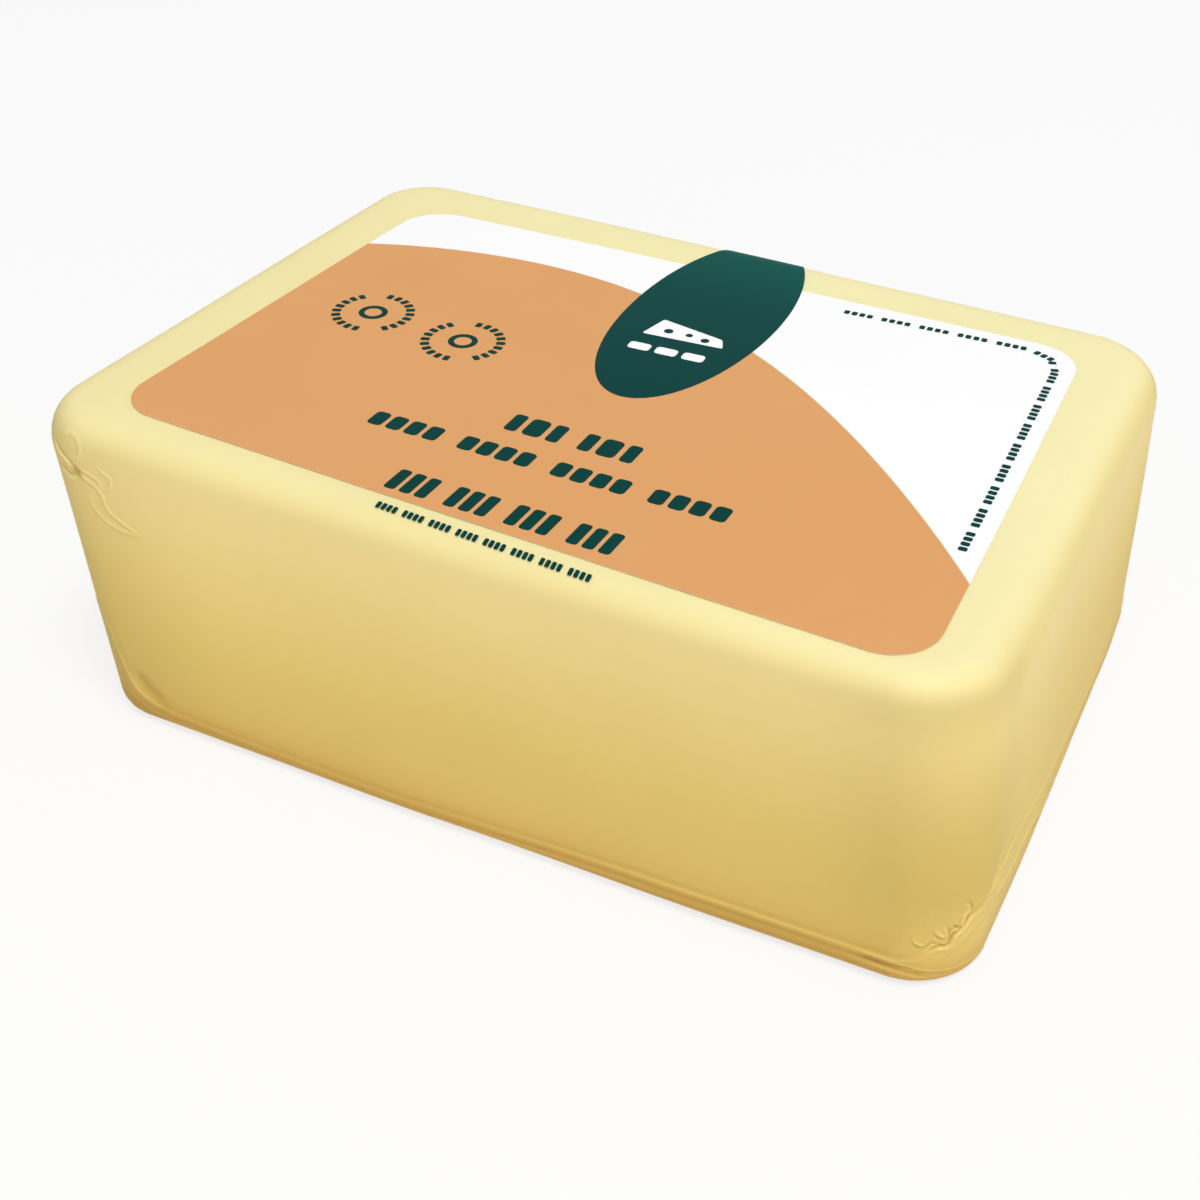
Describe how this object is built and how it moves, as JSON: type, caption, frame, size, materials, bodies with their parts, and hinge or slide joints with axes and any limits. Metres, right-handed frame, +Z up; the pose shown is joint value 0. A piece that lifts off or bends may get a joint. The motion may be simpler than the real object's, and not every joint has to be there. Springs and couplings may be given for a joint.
{
  "type": "mozzarella block",
  "caption": "Rectangular trade block of mild yellow mozzarella with soft rounded edges, sealed in clear shrink film with a plain printed panel on top.",
  "frame": {"origin": "middle of the flat base, on the surface the block rests on", "axes": "+X along the block's length, +Y across its width away from the front face, +Z up out of the printed top"},
  "size_m": [0.2557, 0.1836, 0.0944],
  "materials": {
    "cheese": "mild yellow cheese, smooth and slightly translucent",
    "film": "clear tight shrink film, satin to glossy",
    "panel_white": "white ink on the film",
    "panel_orange": "soft orange ink on the film",
    "print_green": "dark green ink on the film"
  },
  "bodies": {
    "root": {"cheese_block": "cheese"}
  },
  "joints": []
}
